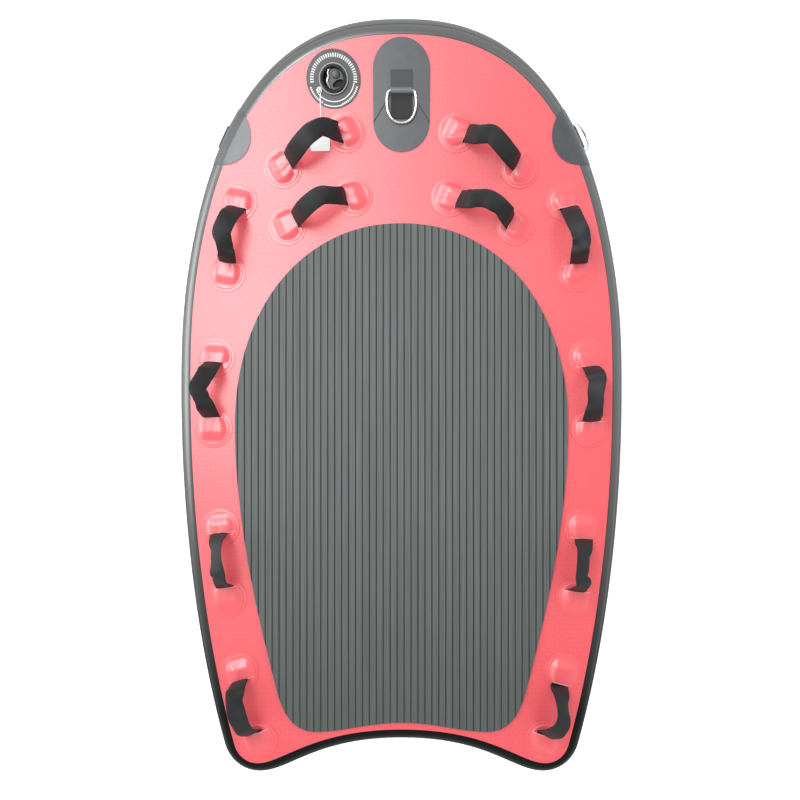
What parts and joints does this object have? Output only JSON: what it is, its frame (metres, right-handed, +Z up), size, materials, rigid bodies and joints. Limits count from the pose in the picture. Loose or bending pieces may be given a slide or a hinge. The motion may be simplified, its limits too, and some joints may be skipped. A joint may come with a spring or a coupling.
{
  "type": "inflatable rescue board",
  "caption": "Flat inflatable board with an upturned rounded nose, scooped tail, grey rail, grooved pad, strap handles on round patches, towing rings and an inflation valve.",
  "frame": {"origin": "on the plane the board rests on, under the middle of its bounding box", "axes": "+X to the right of a rider lying head first, +Y towards the nose, +Z up out of the deck"},
  "size_m": [1.09, 1.81, 0.2673],
  "materials": {
    "deck_red": "satin PVC-coated fabric, red",
    "rail_grey": "satin PVC-coated fabric, grey",
    "patch_grey": "satin PVC-coated fabric, mid grey",
    "pad_foam": "grooved closed-cell foam, grey",
    "strap_neoprene": "matt neoprene sleeve, black",
    "webbing": "woven webbing, grey",
    "steel": "polished stainless steel wire",
    "valve_plastic": "moulded plastic, black",
    "seal_rubber": "soft seal, black",
    "spring_steel": "spring wire",
    "drop_stitch_cloth": "drop-stitch base cloth and thread, white",
    "string": "thin white string",
    "card": "plain white card"
  },
  "bodies": {
    "board": {"drop_stitch_core": "drop_stitch_cloth", "side_wall": "rail_grey", "deck_skin": "deck_red", "bottom_skin": "rail_grey", "traction_pad": "pad_foam", "nose_tow_patch": "patch_grey", "nose_tow_overlay": "patch_grey", "nose_tow_webbing": "webbing", "left_tow_patch": "patch_grey", "right_tow_patch": "patch_grey", "left_tow_webbing": "webbing", "right_tow_webbing": "webbing", "valve_ring_patch": "patch_grey", "valve_body": "valve_plastic", "valve_nut": "valve_plastic", "valve_spring": "spring_steel", "tag_string": "string", "swing_tag": "card", "left_bow_handle_strap": "strap_neoprene", "left_bow_handle_front_patch": "deck_red", "left_bow_handle_rear_patch": "deck_red", "right_bow_handle_strap": "strap_neoprene", "right_bow_handle_front_patch": "deck_red", "right_bow_handle_rear_patch": "deck_red", "left_chest_handle_strap": "strap_neoprene", "left_chest_handle_front_patch": "deck_red", "left_chest_handle_rear_patch": "deck_red", "right_chest_handle_strap": "strap_neoprene", "right_chest_handle_front_patch": "deck_red", "right_chest_handle_rear_patch": "deck_red", "left_shoulder_handle_strap": "strap_neoprene", "left_shoulder_handle_front_patch": "deck_red", "left_shoulder_handle_rear_patch": "deck_red", "right_shoulder_handle_strap": "strap_neoprene", "right_shoulder_handle_front_patch": "deck_red", "right_shoulder_handle_rear_patch": "deck_red", "left_waist_handle_strap": "strap_neoprene", "left_waist_handle_front_patch": "deck_red", "left_waist_handle_rear_patch": "deck_red", "right_waist_handle_strap": "strap_neoprene", "right_waist_handle_front_patch": "deck_red", "right_waist_handle_rear_patch": "deck_red", "left_hip_handle_strap": "strap_neoprene", "left_hip_handle_front_patch": "deck_red", "left_hip_handle_rear_patch": "deck_red", "right_hip_handle_strap": "strap_neoprene", "right_hip_handle_front_patch": "deck_red", "right_hip_handle_rear_patch": "deck_red", "left_tail_handle_strap": "strap_neoprene", "left_tail_handle_front_patch": "deck_red", "left_tail_handle_rear_patch": "deck_red", "right_tail_handle_strap": "strap_neoprene", "right_tail_handle_front_patch": "deck_red", "right_tail_handle_rear_patch": "deck_red"},
    "nose_ring": {"nose_tow_ring": "steel"},
    "left_ring": {"left_tow_ring": "steel"},
    "right_ring": {"right_tow_ring": "steel"},
    "cap_seal": {"valve_cap_seal": "seal_rubber"},
    "cap": {"valve_cap": "valve_plastic"},
    "poppet": {"valve_poppet": "valve_plastic"}
  },
  "joints": [
    {"name": "nose_ring_flip", "type": "hinge", "parent": "board", "child": "nose_ring", "pos_m": [0, 0.71926, 0.21263], "axis": [-1, 0, 0], "range_deg": [0, 170]},
    {"name": "left_ring_swing", "type": "hinge", "parent": "board", "child": "left_ring", "pos_m": [-0.43377, 0.65196, 0.11099], "axis": [0.4689, 0.8606, 0.199], "range_deg": [0, 170]},
    {"name": "right_ring_swing", "type": "hinge", "parent": "board", "child": "right_ring", "pos_m": [0.43377, 0.65196, 0.11099], "axis": [0.4689, -0.8606, -0.199], "range_deg": [-31, 139]},
    {"name": "valve_cap_lift", "type": "slide", "parent": "board", "child": "cap_seal", "axis": [0, -0.3077, 0.9515], "range_m": [0, 0.06]},
    {"name": "valve_cap_turn", "type": "hinge", "parent": "cap_seal", "child": "cap", "pos_m": [-0.157, 0.74435, 0.21431], "axis": [0, -0.3077, 0.9515], "range_deg": [0, 90]},
    {"name": "valve_poppet_push", "type": "slide", "parent": "board", "child": "poppet", "axis": [0, 0.3077, -0.9515], "range_m": [0, 0.008], "stiffness_N_per_m": 600, "springref_m": -0.004, "deforming": ["valve_spring"]}
  ]
}
